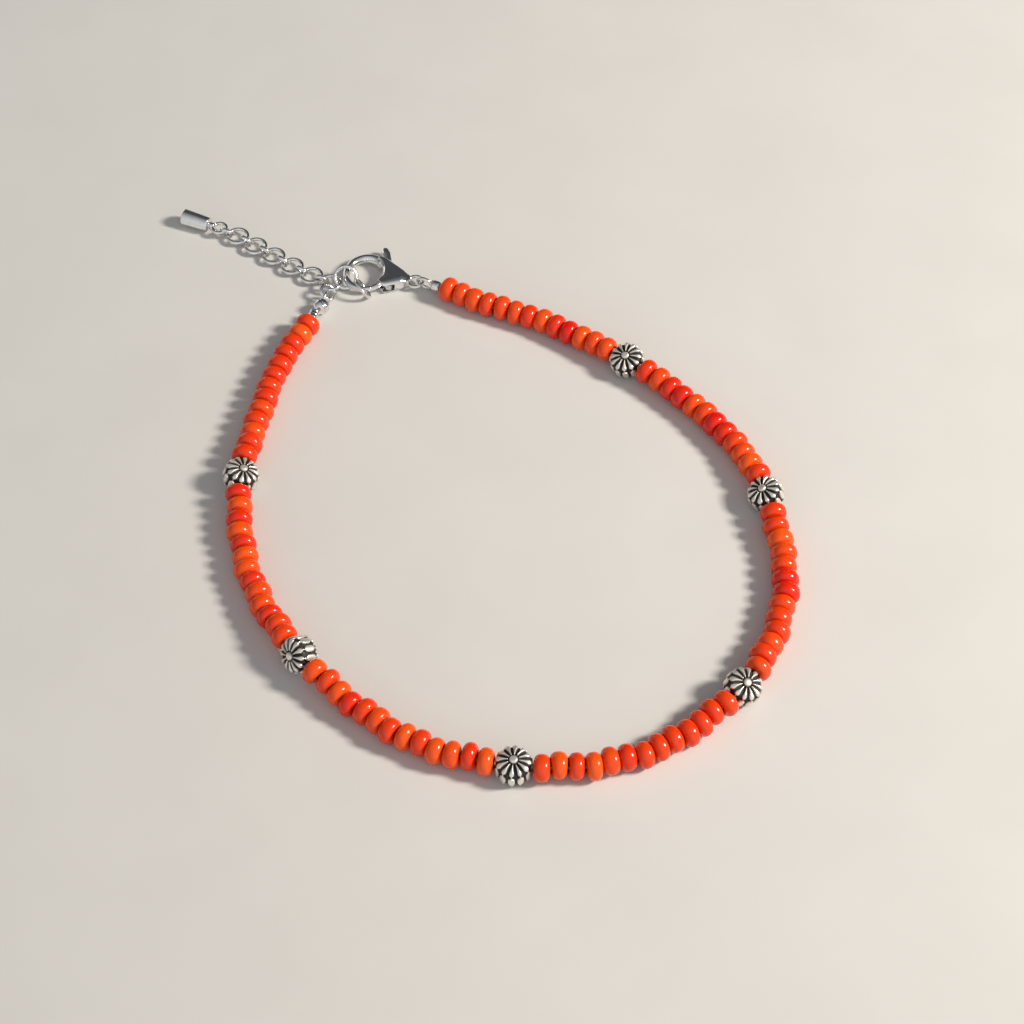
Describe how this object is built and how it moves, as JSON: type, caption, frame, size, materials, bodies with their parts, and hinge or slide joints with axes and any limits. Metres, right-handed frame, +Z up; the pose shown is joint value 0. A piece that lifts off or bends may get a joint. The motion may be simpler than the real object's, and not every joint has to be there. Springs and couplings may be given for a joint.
{
  "type": "beaded anklet",
  "caption": "Anklet of orange-red glass seed beads with silver daisy beads, closed by a lobster clasp on an extender chain, lying in a loose loop.",
  "frame": {"origin": "middle of the whole anklet's bounding box, on the surface it lies on", "axes": "+Z up from the surface; the loop lies in XY, with the clasp and the extender chain at its +Y end and the chain trailing to -X"},
  "size_m": [0.0814, 0.0954, 0.0047],
  "materials": {
    "orange_glass": "opaque glossy glass, orange-red",
    "antiqued_silver": "antiqued silver, dark in the grooves and worn bright on the ridges",
    "bright_silver": "mirror polished silver plate"
  },
  "bodies": {
    "anklet": {"bead_string_1": "orange_glass", "bead_string_2": "orange_glass", "bead_string_3": "orange_glass", "bead_string_4": "orange_glass", "bead_string_5": "orange_glass", "bead_string_6": "orange_glass", "bead_string_7": "orange_glass", "daisy_bead_1": "antiqued_silver", "daisy_bead_2": "antiqued_silver", "daisy_bead_3": "antiqued_silver", "daisy_bead_4": "antiqued_silver", "daisy_bead_5": "antiqued_silver", "daisy_bead_6": "antiqued_silver", "clasp_body": "bright_silver", "crimp_right": "bright_silver", "crimp_left": "bright_silver", "crimp_cover": "bright_silver", "extender_drop": "bright_silver", "hook_ring": "bright_silver", "spare_ring": "bright_silver", "cover_ring": "bright_silver", "extender_link_1": "bright_silver", "extender_link_2": "bright_silver", "extender_link_3": "bright_silver", "extender_link_4": "bright_silver", "extender_link_5": "bright_silver", "extender_link_6": "bright_silver", "joining_link_0": "bright_silver", "joining_link_1": "bright_silver", "joining_link_2": "bright_silver", "joining_link_3": "bright_silver", "joining_link_4": "bright_silver", "joining_link_5": "bright_silver"},
    "clasp_lever": {"clasp_lever": "bright_silver"}
  },
  "joints": [
    {"name": "clasp_lever_turn", "type": "hinge", "parent": "anklet", "child": "clasp_lever", "pos_m": [-0.01142, 0.03486, 0.001], "axis": [0, 0, -1], "range_deg": [0, 24], "stiffness_Nm_per_rad": 0.002}
  ]
}
